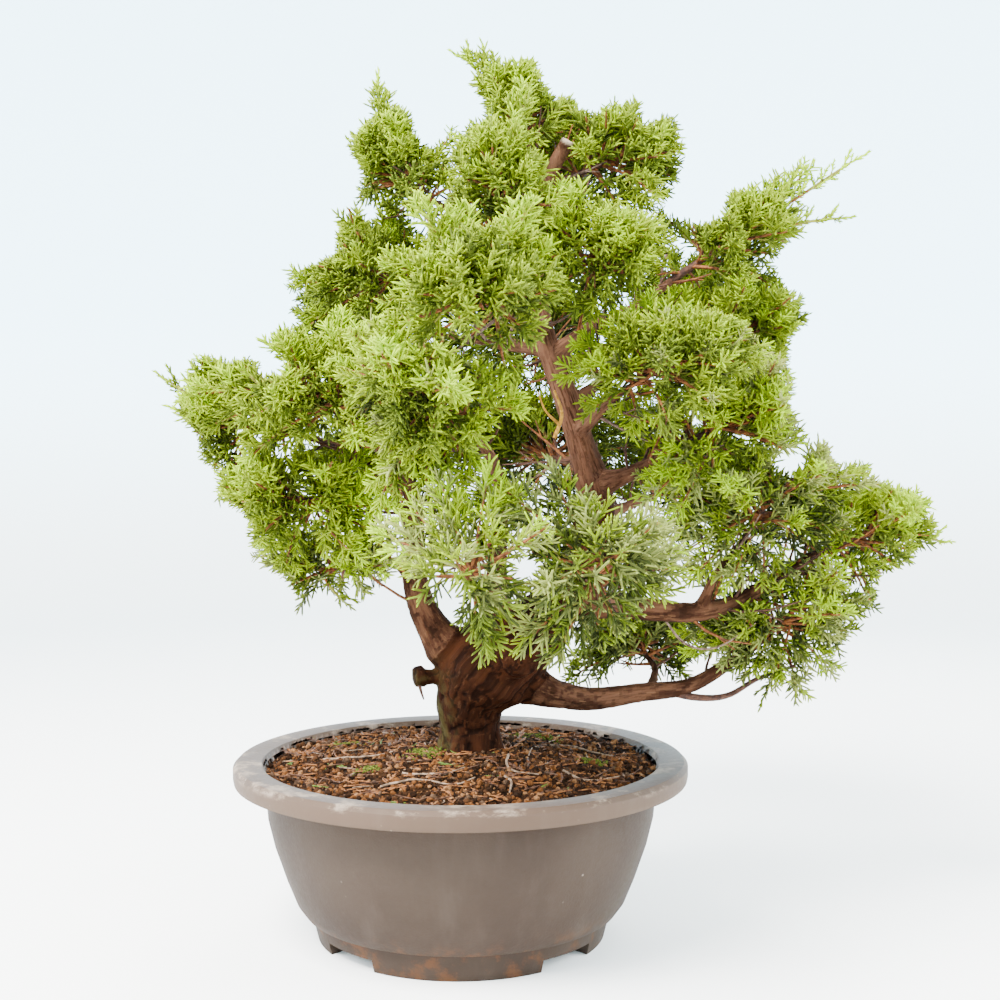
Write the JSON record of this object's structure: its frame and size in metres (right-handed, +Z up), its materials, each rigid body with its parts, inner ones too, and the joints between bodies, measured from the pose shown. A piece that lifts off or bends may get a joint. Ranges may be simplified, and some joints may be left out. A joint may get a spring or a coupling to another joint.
{
  "type": "juniper bonsai in a round training pot",
  "caption": "Chinese juniper bonsai with a thick leaning trunk, curved boughs and a broad crown of fine sprays, in a low round pot.",
  "frame": {"origin": "bottom centre of the whole object's bounding box, on the surface that the pot stands on", "axes": "+Z up along the tree, -Y towards the front that the picture shows, +X to the right of it"},
  "size_m": [0.413, 0.3376, 0.453],
  "materials": {
    "pot_plastic": "dark warm grey moulded plastic, finely grained, with chalky scuffs on the rim",
    "soil": "damp brown clay granules with bits of moss and dead twigs",
    "bark": "rough red-brown bark with dark cracks and old cuts",
    "shoots": "fine green shoots, bright yellow-green at their tips"
  },
  "bodies": {
    "root": {"bough_back_left": "bark", "bough_back_low_left": "bark", "bough_back_low_right": "bark", "bough_back_centre": "bark", "bough_back_mid": "bark", "bough_back_right": "bark", "bough_back_top": "bark", "bough_crown_right_front": "bark", "bough_far_left": "bark", "bough_front_crown": "bark", "bough_left_hem": "bark", "bough_left_low": "bark", "bough_left_stem": "bark", "bough_low_front_left": "bark", "bough_low_front_right": "bark", "bough_middle_stem": "bark", "bough_right_bough": "bark", "bough_right_front": "bark", "bough_right_low": "bark", "bough_right_low_bough": "bark", "bough_right_lower_front": "bark", "bough_right_middle": "bark", "bough_right_upper": "bark", "bough_top_left": "bark", "bough_top_right": "bark", "bough_under_right": "bark", "bough_upper_front": "bark", "bough_upper_left": "bark", "foliage_apex": "shoots", "foliage_back_left": "shoots", "foliage_back_low_left": "shoots", "foliage_back_low_right": "shoots", "foliage_back_centre": "shoots", "foliage_back_mid": "shoots", "foliage_back_right": "shoots", "foliage_back_top": "shoots", "foliage_centre_left": "shoots", "foliage_crown_right_front": "shoots", "foliage_far_left": "shoots", "foliage_far_right": "shoots", "foliage_front_crown": "shoots", "foliage_left_hem": "shoots", "foliage_left_low": "shoots", "foliage_left_middle": "shoots", "foliage_low_front_left": "shoots", "foliage_low_front_right": "shoots", "foliage_right_front": "shoots", "foliage_right_hem": "shoots", "foliage_right_low": "shoots", "foliage_right_lower_front": "shoots", "foliage_right_middle": "shoots", "foliage_right_upper": "shoots", "foliage_top_left": "shoots", "foliage_top_right": "shoots", "foliage_under_right": "shoots", "foliage_upper_front": "shoots", "foliage_upper_left": "shoots", "pot": "pot_plastic", "soil": "soil", "trunk": "bark"}
  },
  "joints": []
}
